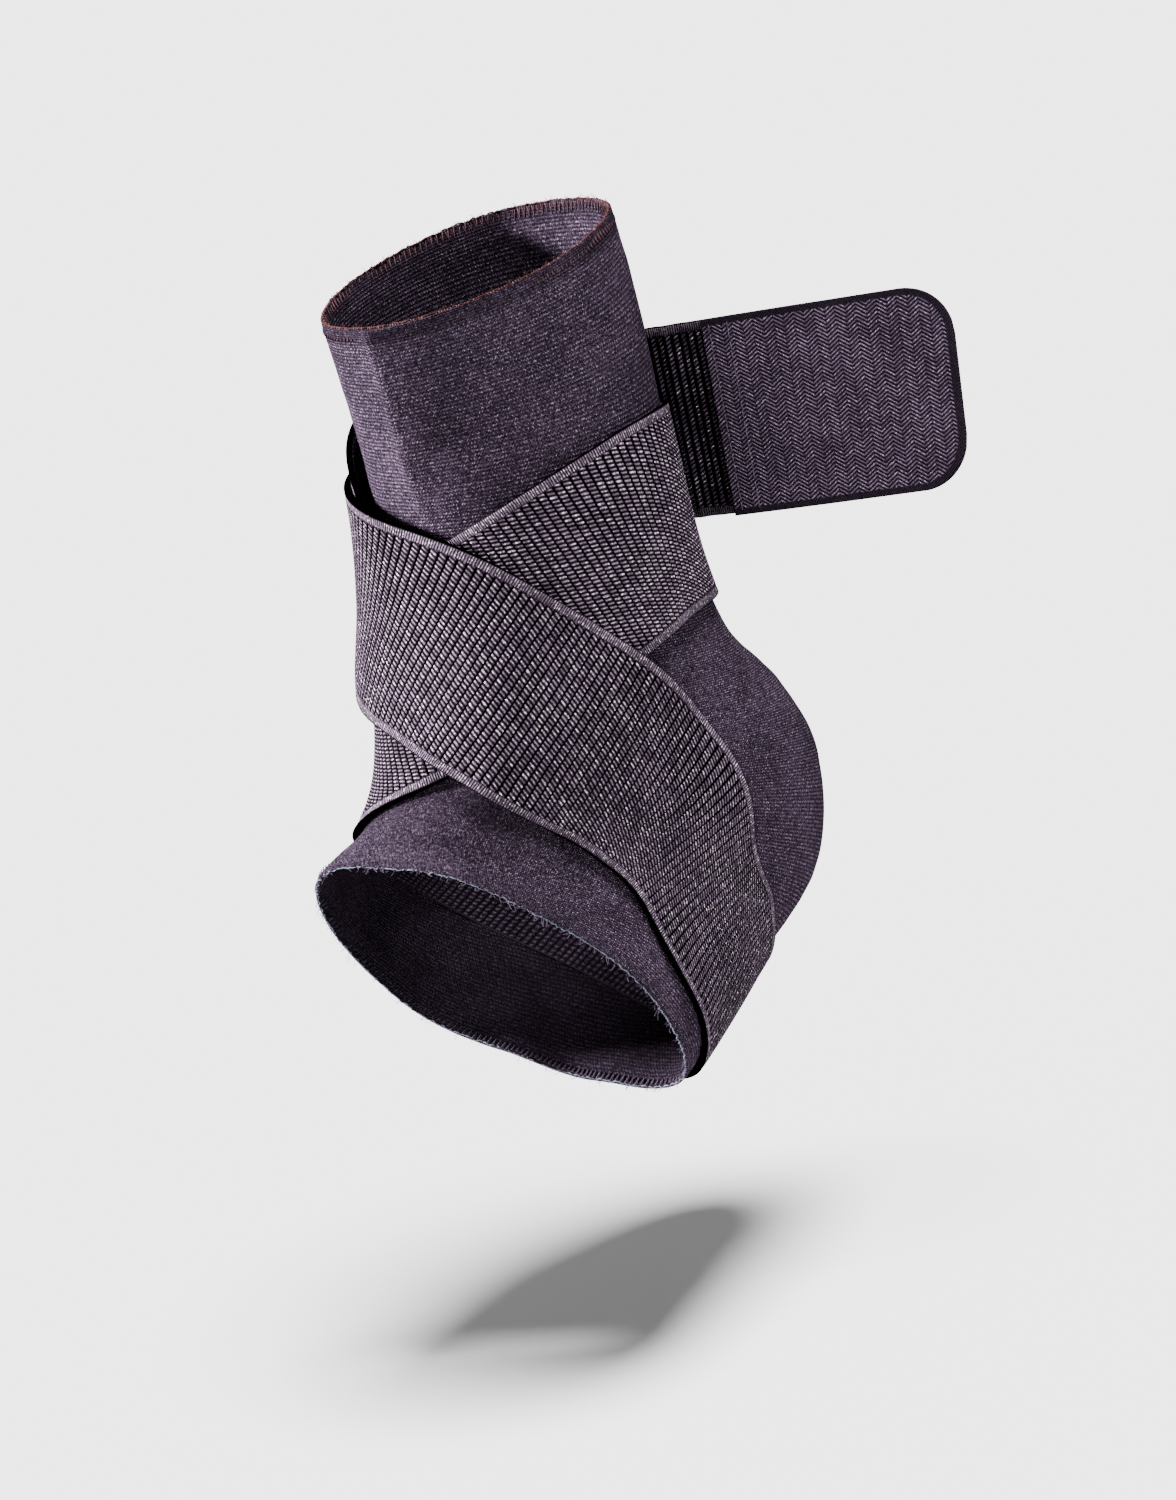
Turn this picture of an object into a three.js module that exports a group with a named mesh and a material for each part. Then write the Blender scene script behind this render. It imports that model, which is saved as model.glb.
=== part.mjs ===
// Elastic ankle brace: a knitted sleeve with an open cuff, a closed heel and a wide foot opening, wrapped by
// a figure eight of two elastic straps. One strap is still open and carries a sewn-on closure tab.
// Millimetres, +Z up the leg, toes towards -Y, heel towards +Y. The origin lies inside the ankle.
import * as THREE from 'three';

// Driving sizes of the sleeve
const LEG_HEIGHT = 104;
const SOLE_DROP = 116;
const FRONT_REACH = 70;
const HEEL_REACH = 65;
const LEG_HALF_WIDTH = 34;
const FOOT_HALF_WIDTH = 46;
const KNIT_WALL = 2.2;

// Driving sizes of the straps and the tab. STRAP_BLEND is the run over which the over strap climbs onto the
// under strap, and BLEND_INSET counts the strap steps of it that are level again. SOLE_SHARE is the first share
// of the under strap, which lies end to end with the over strap and lifts nothing. The under strap's last
// stretch stands UNDER_END_LIFT further off the sleeve, tucked under the over strap.
const STRAP_WIDTH = 51;
const STRAP_THICKNESS = 1.6;
const LAYER_GAP = 0.6;
const SOLE_SEAM_GAP = 1.6;
const STRAP_BLEND = 18;
const BLEND_INSET = 1.3;
const SOLE_SHARE = 0.16;
const UNDER_END_LIFT = 2.1;
const UNDER_RISE_START = 0.76;
const UNDER_RISE_END = 0.88;
const TAIL_LENGTH = 49;
const TAIL_LEAN = 17;
const TAB_LENGTH = 66;
const TAB_WIDTH = 51.5;
const TAB_THICKNESS = 1.8;
const TAB_OVERLAP = 10;
const TAB_CORNER = 13;
const TAB_TWIST = 15;

// Mesh density
const SLEEVE_ROWS = 30;
const SLEEVE_COLUMNS = 44;
const STRAP_STEP = 6.5;
const STRAP_CELLS = 8;
const WALK_PIECES = 3;
const PATH_SAMPLES = 24;
const CORNER_STEPS = 6;

// How many sections the outline of the cuff and of the foot opening fades over
const CUFF_FADE = 2;
const FOOT_FADE = 1.8;

const DEGREE = Math.PI / 180;

// Sections of the sleeve from the cuff to the foot opening. Each is an oval between a front and a back point.
// forward: share of FRONT_REACH towards the toes; backward: share of HEEL_REACH towards the heel.
// frontUp, backUp: share of LEG_HEIGHT above the origin, or of SOLE_DROP below it. legWide, footWide: shares of
// the two half widths, added. aside: shift to the near side as a share of FOOT_HALF_WIDTH.
const SECTIONS = [
  { forward: 0.53, frontUp: 0.91, backward: 0.65, backUp: 1.03, legWide: 1.00, footWide: 0, aside: 0 },
  { forward: 0.52, frontUp: 0.69, backward: 0.66, backUp: 0.74, legWide: 1.06, footWide: 0, aside: 0.03 },
  { forward: 0.52, frontUp: 0.44, backward: 0.62, backUp: 0.41, legWide: 1.12, footWide: 0, aside: 0.05 },
  { forward: 0.57, frontUp: 0.23, backward: 0.63, backUp: 0.13, legWide: 1.18, footWide: 0, aside: 0.04 },
  { forward: 0.66, frontUp: 0.06, backward: 0.75, backUp: -0.08, legWide: 0.64, footWide: 0.45, aside: 0.02 },
  { forward: 0.75, frontUp: -0.07, backward: 1.03, backUp: -0.26, legWide: 0.22, footWide: 0.79, aside: 0.02 },
  { forward: 0.82, frontUp: -0.15, backward: 1.19, backUp: -0.48, legWide: 0, footWide: 0.99, aside: 0.01 },
  { forward: 0.89, frontUp: -0.20, backward: 1.05, backUp: -0.76, legWide: 0, footWide: 0.98, aside: -0.04 },
  { forward: 0.95, frontUp: -0.24, backward: 0.42, backUp: -0.90, legWide: 0, footWide: 0.98, aside: -0.08 },
  { forward: 1.00, frontUp: -0.27, backward: -0.26, backUp: -1.0, legWide: 0, footWide: 1.00, aside: -0.04 },
];

// Outline of the cuff and of the foot opening: reach at an angle from the front, as a share of the plain oval.
const CUFF_OUTLINE = [
  { angle: -140, reach: 1.05 },
  { angle: -90, reach: 1.04 },
  { angle: -40, reach: 1.05 },
  { angle: 0, reach: 1.00 },
  { angle: 50, reach: 0.98 },
  { angle: 100, reach: 1.00 },
  { angle: 140, reach: 1.05 },
  { angle: 180, reach: 1.00 },
];
const FOOT_OUTLINE = [
  { angle: -150, reach: 0.83 },
  { angle: -105, reach: 1.00 },
  { angle: -45, reach: 1.10 },
  { angle: 0, reach: 0.93 },
  { angle: 45, reach: 0.91 },
  { angle: 95, reach: 1.02 },
  { angle: 140, reach: 1.10 },
  { angle: 180, reach: 0.90 },
];

// Middle lines of the two straps on the sleeve, from the sole seam: row counts sections, angle is in degrees
// and wide is the share of STRAP_WIDTH that is left where the elastic is stretched.
const OVER_PATH = [
  { row: 8.32, angle: 180, wide: 0.84 },
  { row: 8.30, angle: 140, wide: 0.84 },
  { row: 8.05, angle: 112, wide: 0.84 },
  { row: 7.58, angle: 88, wide: 0.85 },
  { row: 6.42, angle: 68, wide: 0.90 },
  { row: 4.88, angle: 45, wide: 0.97 },
  { row: 3.62, angle: 10, wide: 1.00 },
  { row: 2.95, angle: -32, wide: 1.00 },
  { row: 2.55, angle: -85, wide: 1.00 },
  { row: 2.18, angle: -130, wide: 1.00 },
  { row: 1.95, angle: -163, wide: 1.00 },
];
const UNDER_PATH = [
  { row: 8.32, angle: -180, wide: 0.84 },
  { row: 8.25, angle: -140, wide: 0.84 },
  { row: 7.75, angle: -110, wide: 0.86 },
  { row: 6.60, angle: -75, wide: 0.92 },
  { row: 5.00, angle: -38, wide: 0.98 },
  { row: 3.74, angle: 8, wide: 1.00 },
  { row: 3.08, angle: 42, wide: 1.00 },
  { row: 2.62, angle: 76, wide: 1.00 },
  { row: 2.45, angle: 110, wide: 1.00 },
  { row: 2.50, angle: 180, wide: 1.00 },
  { row: 2.33, angle: 220, wide: 1.00 },
  { row: 2.02, angle: 256, wide: 1.00 },
  { row: 2.20, angle: 284, wide: 1.00 },
  { row: 2.75, angle: 303, wide: 1.00 },
  { row: 3.20, angle: 312, wide: 1.00 },
];

// Catmull-Rom blend of one column of a table of rows, at a position counted in rows
function blendColumn(rows, column, position) {
  const last = rows.length - 1;
  const first = Math.min(Math.floor(position), last - 1);
  const part = position - first;
  const pick = (index) => rows[Math.max(0, Math.min(last, index))][column];
  const [before, start, end, after] = [pick(first - 1), pick(first), pick(first + 1), pick(first + 2)];
  const slopeStart = (end - before) / 2;
  const slopeEnd = (after - start) / 2;
  const square = part * part;
  const cube = square * part;
  return (2 * cube - 3 * square + 1) * start + (cube - 2 * square + part) * slopeStart
    + (3 * square - 2 * cube) * end + (cube - square) * slopeEnd;
}

// Smooth reach of an outline table, which closes on itself after a full turn
function outlineReach(rows, angle) {
  const turned = ((angle - rows[0].angle) % 360 + 360) % 360 + rows[0].angle;
  let index = rows.length - 1;
  while (rows[index].angle > turned) index -= 1;
  const start = rows[index];
  const end = rows[(index + 1) % rows.length];
  const span = (end.angle - start.angle + 360) % 360;
  const part = (turned - start.angle) / span;
  return start.reach + (end.reach - start.reach) * smooth(part);
}

function smooth(value) {
  const part = Math.max(0, Math.min(1, value));
  return part * part * (3 - 2 * part);
}

function height(share) {
  return share > 0 ? share * LEG_HEIGHT : share * SOLE_DROP;
}

// Point of the sleeve's outer face: row counts sections from the cuff, angle is 0 at the front, 90 on the near
// side and 180 at the back
function facePoint(row, angle) {
  const front = new THREE.Vector3(0, -blendColumn(SECTIONS, 'forward', row) * FRONT_REACH,
    height(blendColumn(SECTIONS, 'frontUp', row)));
  const back = new THREE.Vector3(0, blendColumn(SECTIONS, 'backward', row) * HEEL_REACH,
    height(blendColumn(SECTIONS, 'backUp', row)));
  const halfWidth = blendColumn(SECTIONS, 'legWide', row) * LEG_HALF_WIDTH
    + blendColumn(SECTIONS, 'footWide', row) * FOOT_HALF_WIDTH;
  const aside = blendColumn(SECTIONS, 'aside', row) * FOOT_HALF_WIDTH;
  const last = SECTIONS.length - 1;
  const cuffShare = smooth(1 - row / CUFF_FADE);
  const footShare = smooth(1 - (last - row) / FOOT_FADE);
  const reach = 1 + cuffShare * (outlineReach(CUFF_OUTLINE, angle) - 1)
    + footShare * (outlineReach(FOOT_OUTLINE, angle) - 1);
  const centre = front.clone().add(back).multiplyScalar(0.5);
  const depth = front.sub(centre);
  return centre.addScaledVector(depth, reach * Math.cos(angle * DEGREE))
    .add(new THREE.Vector3(aside + reach * halfWidth * Math.sin(angle * DEGREE), 0, 0));
}

// Slopes of the outer face along rows and along the angle, and its outward normal
function faceFrame(row, angle) {
  const last = SECTIONS.length - 1;
  const rowStep = 0.02;
  const angleStep = 0.5;
  const rowLow = Math.max(0, row - rowStep);
  const rowHigh = Math.min(last, row + rowStep);
  const alongRow = facePoint(rowHigh, angle).sub(facePoint(rowLow, angle));
  alongRow.divideScalar(rowHigh - rowLow);
  const alongAngle = facePoint(row, angle + angleStep).sub(facePoint(row, angle - angleStep));
  const normal = alongRow.clone().cross(alongAngle).normalize();
  return { point: facePoint(row, angle), alongRow, alongAngle, normal };
}

function offsetPoint(row, angle, distance) {
  const frame = faceFrame(row, angle);
  return frame.point.addScaledVector(frame.normal, distance);
}

function material(color, roughness) {
  return new THREE.MeshStandardMaterial({ color, roughness, metalness: 0 });
}

// Closed mesh from rings of points: each ring joins the next, and the last joins the first
function ringGeometry(rings, closedRings) {
  const positions = [];
  const indices = [];
  const count = rings[0].length;
  for (const ring of rings) {
    for (const point of ring) positions.push(point.x, point.y, point.z);
  }
  const ringPairs = closedRings ? rings.length : rings.length - 1;
  for (let ring = 0; ring < ringPairs; ring += 1) {
    const next = (ring + 1) % rings.length;
    for (let column = 0; column < count; column += 1) {
      const beside = (column + 1) % count;
      const [a, b] = [ring * count + column, ring * count + beside];
      const [c, d] = [next * count + column, next * count + beside];
      indices.push(a, c, b, b, c, d);
    }
  }
  const geometry = new THREE.BufferGeometry();
  geometry.setAttribute('position', new THREE.Float32BufferAttribute(positions, 3));
  geometry.setIndex(indices);
  geometry.computeVertexNormals();
  return geometry;
}

function buildSleeve() {
  const last = SECTIONS.length - 1;
  const rings = [];
  const ringAt = (row, distance) => Array.from({ length: SLEEVE_COLUMNS },
    (_, column) => offsetPoint(row, column * 360 / SLEEVE_COLUMNS, distance));
  for (let step = 0; step <= SLEEVE_ROWS; step += 1) rings.push(ringAt(last * step / SLEEVE_ROWS, 0));
  for (let step = SLEEVE_ROWS; step >= 0; step -= 1) rings.push(ringAt(last * step / SLEEVE_ROWS, -KNIT_WALL));
  const mesh = new THREE.Mesh(ringGeometry(rings, true), material(0x3a343e, 0.95));
  mesh.name = 'sleeve';
  return mesh;
}

// Moves a place on the outer face by a small step along a direction in space, and turns the direction with it
function walk(place, direction, distance) {
  const { alongRow, alongAngle, normal } = faceFrame(place.row, place.angle);
  const flat = direction.clone().addScaledVector(normal, -direction.dot(normal)).normalize();
  const [rr, ra, aa] = [alongRow.dot(alongRow), alongRow.dot(alongAngle), alongAngle.dot(alongAngle)];
  const [fr, fa] = [flat.dot(alongRow) * distance, flat.dot(alongAngle) * distance];
  const area = rr * aa - ra * ra;
  return {
    place: { row: place.row + (fr * aa - fa * ra) / area, angle: place.angle + (fa * rr - fr * ra) / area },
    direction: flat,
  };
}

// Places at even distances along a path of rows and angles
function evenPlaces(path, startGap) {
  const samples = [];
  let run = 0;
  for (let step = 0; step <= (path.length - 1) * PATH_SAMPLES; step += 1) {
    const position = step / PATH_SAMPLES;
    const place = {
      row: blendColumn(path, 'row', position),
      angle: blendColumn(path, 'angle', position),
      wide: blendColumn(path, 'wide', position),
    };
    place.point = facePoint(place.row, place.angle);
    if (step > 0) run += place.point.distanceTo(samples[step - 1].point);
    place.run = run;
    samples.push(place);
  }
  const count = Math.round((run - startGap) / STRAP_STEP);
  return Array.from({ length: count + 1 }, (_, index) => {
    const target = startGap + (run - startGap) * index / count;
    const after = Math.max(1, samples.findIndex((sample) => sample.run >= target - 1e-6));
    const [low, high] = [samples[after - 1], samples[after]];
    const part = (target - low.run) / (high.run - low.run);
    const row = low.row + (high.row - low.row) * part;
    const angle = low.angle + (high.angle - low.angle) * part;
    const wide = low.wide + (high.wide - low.wide) * part;
    return { row, angle, wide, share: index / count };
  });
}

// Rows of places across a strap that follows a path, each row square to the middle line.
// The first row lies along the middle of the sole, where the two straps are sewn down end to end.
function strapPlaces(path, startGap) {
  const middle = evenPlaces(path, startGap);
  return middle.map((place, index) => {
    const before = middle[Math.max(0, index - 1)];
    const after = middle[Math.min(middle.length - 1, index + 1)];
    const run = facePoint(after.row, after.angle).sub(facePoint(before.row, before.angle)).normalize();
    if (index === 0) run.set(Math.sign(run.x), 0, 0);
    const across = faceFrame(place.row, place.angle).normal.cross(run);
    const half = STRAP_CELLS / 2;
    const cells = new Array(STRAP_CELLS + 1);
    cells[half] = place;
    for (const side of [-1, 1]) {
      let here = { place, direction: across.clone().multiplyScalar(side) };
      for (let cell = 1; cell <= half; cell += 1) {
        for (let piece = 0; piece < WALK_PIECES; piece += 1) {
          here = walk(here.place, here.direction, place.wide * STRAP_WIDTH / STRAP_CELLS / WALK_PIECES);
        }
        cells[half + side * cell] = here.place;
      }
    }
    return { cells, share: place.share, middle: facePoint(place.row, place.angle) };
  });
}

// How far the inner face of the under strap stands off the sleeve along its length
function underLift(share) {
  return LAYER_GAP + UNDER_END_LIFT * smooth((share - UNDER_RISE_START) / (UNDER_RISE_END - UNDER_RISE_START));
}

// How far the inner face of the over strap stands off the sleeve: clear of the under strap where it crosses it
function overLift(point, underRows) {
  let lift = LAYER_GAP;
  for (const row of underRows.filter(({ share }) => share > SOLE_SHARE)) {
    const aside = point.distanceTo(row.middle);
    const climb = STRAP_BLEND - BLEND_INSET * STRAP_STEP;
    const cover = smooth((STRAP_WIDTH / 2 + STRAP_BLEND - aside) / climb);
    lift = Math.max(lift, LAYER_GAP + cover * (underLift(row.share) + STRAP_THICKNESS));
  }
  return lift;
}

// Ring of points round one cross-section of a strap, from its inner and outer edge points
function strapRing(inner, outer) {
  return [...outer, ...inner.slice().reverse()];
}

// Closes a strap of rings with a flat cap at each end
function strapGeometry(rings) {
  const geometry = ringGeometry(rings, false);
  const indices = Array.from(geometry.index.array);
  const count = rings[0].length;
  const cap = (start, flip) => {
    for (let cell = 0; cell < count / 2 - 1; cell += 1) {
      const quad = [cell, cell + 1, count - 2 - cell, count - 1 - cell].map((index) => start + index);
      const faces = [quad[0], quad[1], quad[2], quad[0], quad[2], quad[3]];
      indices.push(...(flip ? faces.reverse() : faces));
    }
  };
  cap(0, false);
  cap((rings.length - 1) * count, true);
  geometry.setIndex(indices);
  geometry.computeVertexNormals();
  return geometry;
}

function strapMesh(name, rings, color) {
  const mesh = new THREE.Mesh(strapGeometry(rings), material(color, 0.85));
  mesh.name = name;
  return mesh;
}

const underRows = strapPlaces(UNDER_PATH, SOLE_SEAM_GAP / 2);
const overRows = strapPlaces(OVER_PATH, SOLE_SEAM_GAP / 2);

function buildUnderStrap() {
  const rings = underRows.map(({ cells, share }) => {
    const lift = underLift(share);
    return strapRing(cells.map((cell) => offsetPoint(cell.row, cell.angle, lift)),
      cells.map((cell) => offsetPoint(cell.row, cell.angle, lift + STRAP_THICKNESS)));
  });
  return strapMesh('under_strap', rings, 0x453d49);
}

// Frame of the free tail at a run from the last row on the leg: it goes straight on and turns its face a little
function tailFrame(start, run) {
  const along = new THREE.Vector3(Math.cos(TAIL_LEAN * DEGREE), Math.sin(TAIL_LEAN * DEGREE), 0);
  const level = new THREE.Vector3(0, 0, 1).cross(along);
  const turn = TAB_TWIST * DEGREE * smooth(run / (TAIL_LENGTH + TAB_LENGTH));
  const across = new THREE.Vector3(0, 0, -Math.cos(turn)).addScaledVector(level, -Math.sin(turn));
  const normal = along.clone().cross(across);
  return { centre: start.clone().addScaledVector(along, run), along, across, normal };
}

function tailPoint(frame, side, out) {
  return frame.centre.clone().addScaledVector(frame.across, side).addScaledVector(frame.normal, out);
}

// Inner edge of the strap's last row on the leg, which the tail grows out of
const lastRow = overRows[overRows.length - 1];
const lastLifts = lastRow.cells.map((cell) => overLift(facePoint(cell.row, cell.angle), underRows));
const tailStart = offsetPoint(lastRow.cells[STRAP_CELLS / 2].row, lastRow.cells[STRAP_CELLS / 2].angle,
  lastLifts[STRAP_CELLS / 2]);

function buildOverStrap() {
  const rings = overRows.map(({ cells }) => {
    const lifts = cells.map((cell) => overLift(facePoint(cell.row, cell.angle), underRows));
    return strapRing(cells.map((cell, index) => offsetPoint(cell.row, cell.angle, lifts[index])),
      cells.map((cell, index) => offsetPoint(cell.row, cell.angle, lifts[index] + STRAP_THICKNESS)));
  });
  const leaving = rings[rings.length - 1];
  const tailSteps = Math.round(TAIL_LENGTH / STRAP_STEP);
  for (let step = 1; step <= tailSteps; step += 1) {
    const run = TAIL_LENGTH * step / tailSteps;
    const frame = tailFrame(tailStart, run);
    const side = (index) => STRAP_WIDTH * (index / STRAP_CELLS - 0.5);
    const indexes = Array.from({ length: STRAP_CELLS + 1 }, (_, index) => index);
    const flat = strapRing(indexes.map((index) => tailPoint(frame, side(index), 0)),
      indexes.map((index) => tailPoint(frame, side(index), STRAP_THICKNESS)));
    const freed = smooth(run / (TAIL_LENGTH / 2));
    rings.push(flat.map((point, index) => leaving[index].clone().addScaledVector(frame.along, run)
      .lerp(point, freed)));
  }
  return strapMesh('over_strap', rings, 0x4a424e);
}

// Woven tab on the inner face of the tail, past the strap's end, with two round outer corners
function buildClosureTab() {
  const start = TAIL_LENGTH - TAB_OVERLAP;
  const runs = [];
  const straight = TAB_LENGTH - TAB_CORNER;
  const straightSteps = Math.round(straight / STRAP_STEP);
  for (let step = 0; step <= straightSteps; step += 1) {
    runs.push({ run: straight * step / straightSteps, cut: 0 });
  }
  for (let step = 1; step <= CORNER_STEPS; step += 1) {
    const swing = 90 * DEGREE * step / CORNER_STEPS;
    runs.push({ run: straight + TAB_CORNER * Math.sin(swing), cut: TAB_CORNER * (1 - Math.cos(swing)) });
  }
  const rings = runs.map(({ run, cut }) => {
    const frame = tailFrame(tailStart, start + run);
    const half = TAB_WIDTH / 2 - cut;
    const indexes = Array.from({ length: STRAP_CELLS + 1 }, (_, index) => index);
    const side = (index) => 2 * half * (index / STRAP_CELLS - 0.5);
    return strapRing(indexes.map((index) => tailPoint(frame, side(index), -LAYER_GAP - TAB_THICKNESS)),
      indexes.map((index) => tailPoint(frame, side(index), -LAYER_GAP)));
  });
  const mesh = new THREE.Mesh(strapGeometry(rings), material(0x37313b, 0.9));
  mesh.name = 'closure_tab';
  return mesh;
}

const brace = new THREE.Group();
brace.add(buildSleeve(), buildUnderStrap(), buildOverStrap(), buildClosureTab());

export default brace;
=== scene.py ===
# %% [markdown]
# # Ankle brace
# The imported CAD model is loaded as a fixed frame. It says where each piece lies. The pieces below are made finer than
# the CAD solids, from the same sizes and tables, so that they lie in the same places.

# %% Load the frame
import math

import bpy
import numpy as np
from mathutils import Matrix


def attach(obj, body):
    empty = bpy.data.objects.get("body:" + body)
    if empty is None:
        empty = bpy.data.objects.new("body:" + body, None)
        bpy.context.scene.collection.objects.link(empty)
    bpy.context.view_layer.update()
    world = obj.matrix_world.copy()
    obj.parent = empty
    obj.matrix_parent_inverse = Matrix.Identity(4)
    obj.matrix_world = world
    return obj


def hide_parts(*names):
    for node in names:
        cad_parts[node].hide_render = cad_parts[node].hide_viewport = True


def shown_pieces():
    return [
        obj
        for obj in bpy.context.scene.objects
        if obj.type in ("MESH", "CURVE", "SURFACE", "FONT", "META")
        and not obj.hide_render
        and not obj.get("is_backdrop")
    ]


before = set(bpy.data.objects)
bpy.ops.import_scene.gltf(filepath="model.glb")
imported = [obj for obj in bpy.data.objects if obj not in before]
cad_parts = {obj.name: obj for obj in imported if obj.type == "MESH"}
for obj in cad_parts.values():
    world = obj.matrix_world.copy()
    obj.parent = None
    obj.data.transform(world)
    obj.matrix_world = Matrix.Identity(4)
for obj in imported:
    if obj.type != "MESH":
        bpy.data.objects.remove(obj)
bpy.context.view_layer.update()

print("CAD nodes:", ", ".join(sorted(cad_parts)))

# %% [markdown]
# ## Sizes
# The knit sleeve is described by ten oval sections, from the leg cuff to the foot opening. Two strap paths lie on it.
# These are the sizes and tables of the CAD model, in metres and degrees.

# %% Sizes of the sleeve
LEG_HEIGHT = 0.104
SOLE_DROP = 0.116
FRONT_REACH = 0.070
HEEL_REACH = 0.065
LEG_HALF_WIDTH = 0.034
FOOT_HALF_WIDTH = 0.046
KNIT_WALL = 0.0022
CUFF_FADE = 2
FOOT_FADE = 1.8

# forward, front_up, backward, back_up, leg_wide, foot_wide, aside
SECTIONS = np.array([
    (0.53, 0.91, 0.65, 1.03, 1.00, 0.00, 0.00),
    (0.52, 0.69, 0.66, 0.74, 1.06, 0.00, 0.03),
    (0.52, 0.44, 0.62, 0.41, 1.12, 0.00, 0.05),
    (0.57, 0.23, 0.63, 0.13, 1.18, 0.00, 0.04),
    (0.66, 0.06, 0.75, -0.08, 0.64, 0.45, 0.02),
    (0.75, -0.07, 1.03, -0.26, 0.22, 0.79, 0.02),
    (0.82, -0.15, 1.19, -0.48, 0.00, 0.99, 0.01),
    (0.89, -0.20, 1.05, -0.76, 0.00, 0.98, -0.04),
    (0.95, -0.24, 0.42, -0.90, 0.00, 0.98, -0.08),
    (1.00, -0.27, -0.26, -1.00, 0.00, 1.00, -0.04),
])
LAST_ROW = len(SECTIONS) - 1

# angle from the front, reach as a share of the plain oval
CUFF_OUTLINE = np.array([(-140, 1.05), (-90, 1.04), (-40, 1.05), (0, 1.00),
                         (50, 0.98), (100, 1.00), (140, 1.05), (180, 1.00)])
FOOT_OUTLINE = np.array([(-150, 0.83), (-105, 1.00), (-45, 1.10), (0, 0.93),
                         (45, 0.91), (95, 1.02), (140, 1.10), (180, 0.90)])

# %% [markdown]
# ## Strap and tab sizes
# The straps are two-inch elastic webbing, which gives the whole brace its scale. Each lies along a path of rows and
# angles, a hair off the knit. The over strap goes on into a free tail that leans away from the leg and carries the tab.

# %% Sizes of the straps and the tab
STRAP_WIDTH = 0.051
STRAP_THICKNESS = 0.0016
LAYER_GAP = 0.0006
SOLE_SEAM_GAP = 0.0016
STRAP_BLEND = 0.018
BLEND_END = 0.00845
SOLE_SHARE = 0.16
UNDER_END_LIFT = 0.0021
UNDER_RISE_START = 0.76
UNDER_RISE_END = 0.88
TAIL_LENGTH = 0.049
TAIL_LEAN = math.radians(17)
TAB_LENGTH = 0.066
TAB_WIDTH = 0.0515
TAB_THICKNESS = 0.0018
TAB_OVERLAP = 0.010
TAB_CORNER = 0.013
TAB_TWIST = math.radians(15)

# row, angle, wide: the middle line of each strap from the sole seam on, and the width left where it is stretched
OVER_PATH = np.array([
    (8.32, 180, 0.84), (8.30, 140, 0.84), (8.05, 112, 0.84), (7.58, 88, 0.85), (6.42, 68, 0.90), (4.88, 45, 0.97),
    (3.62, 10, 1.00), (2.95, -32, 1.00), (2.55, -85, 1.00), (2.18, -130, 1.00), (1.95, -163, 1.00),
])
UNDER_PATH = np.array([
    (8.32, -180, 0.84), (8.25, -140, 0.84), (7.75, -110, 0.86), (6.60, -75, 0.92), (5.00, -38, 0.98),
    (3.74, 8, 1.00), (3.08, 42, 1.00), (2.62, 76, 1.00), (2.45, 110, 1.00), (2.50, 180, 1.00),
    (2.33, 220, 1.00), (2.02, 256, 1.00), (2.20, 284, 1.00), (2.75, 303, 1.00), (3.20, 312, 1.00),
])

# %% [markdown]
# ## The sleeve's face
# One function gives the outer face of the sleeve at a row, counted in sections, and at an angle, which is 0 at the
# front. It also gives the outward direction there, which lifts a strap or a thread off the knit.

# %% Point and frame of the sleeve's face
ROW_NUDGE = 0.02
ANGLE_NUDGE = 0.5


def smooth(value):
    """Soft step from 0 to 1."""
    part = np.clip(value, 0, 1)
    return part * part * (3 - 2 * part)


def blend(rows, position):
    """Catmull-Rom blend of the rows of a table, at positions counted in rows."""
    last = len(rows) - 1
    first = np.clip(np.floor(position).astype(int), 0, last - 1)
    part = (position - first)[..., None]
    before, start, end, after = (rows[np.clip(first + step, 0, last)] for step in (-1, 0, 1, 2))
    slope_start, slope_end = (end - before) / 2, (after - start) / 2
    square, cube = part ** 2, part ** 3
    return ((2 * cube - 3 * square + 1) * start + (cube - 2 * square + part) * slope_start
            + (3 * square - 2 * cube) * end + (cube - square) * slope_end)


def outline_reach(outline, angle):
    """Reach of an outline table at an angle. The table closes on itself after a full turn."""
    angles, reaches = outline[:, 0], outline[:, 1]
    turned = (angle - angles[0]) % 360 + angles[0]
    start = np.searchsorted(angles, turned, side="right") - 1
    end = (start + 1) % len(outline)
    part = smooth((turned - angles[start]) / ((angles[end] - angles[start]) % 360))
    return reaches[start] + (reaches[end] - reaches[start]) * part


def height(share):
    """Height from a share of the leg's height, or of the sole's depth where it is below 0."""
    return np.where(share > 0, share * LEG_HEIGHT, share * SOLE_DROP)


def face_point(row, angle):
    """Points of the sleeve's outer face."""
    row, angle = np.broadcast_arrays(np.asarray(row, float), np.asarray(angle, float))
    forward, front_up, backward, back_up, leg_wide, foot_wide, aside = np.moveaxis(blend(SECTIONS, row), -1, 0)
    front_y, back_y = -forward * FRONT_REACH, backward * HEEL_REACH
    front_z, back_z = height(front_up), height(back_up)
    half_width = leg_wide * LEG_HALF_WIDTH + foot_wide * FOOT_HALF_WIDTH
    reach = (1 + smooth(1 - row / CUFF_FADE) * (outline_reach(CUFF_OUTLINE, angle) - 1)
             + smooth(1 - (LAST_ROW - row) / FOOT_FADE) * (outline_reach(FOOT_OUTLINE, angle) - 1))
    forth, side = reach * np.cos(np.radians(angle)), reach * np.sin(np.radians(angle))
    return np.stack([aside * FOOT_HALF_WIDTH + half_width * side,
                     (front_y + back_y) / 2 + (front_y - back_y) / 2 * forth,
                     (front_z + back_z) / 2 + (front_z - back_z) / 2 * forth], axis=-1)


def unit(vectors):
    """The same directions with a length of 1."""
    return vectors / np.linalg.norm(vectors, axis=-1, keepdims=True)


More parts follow.
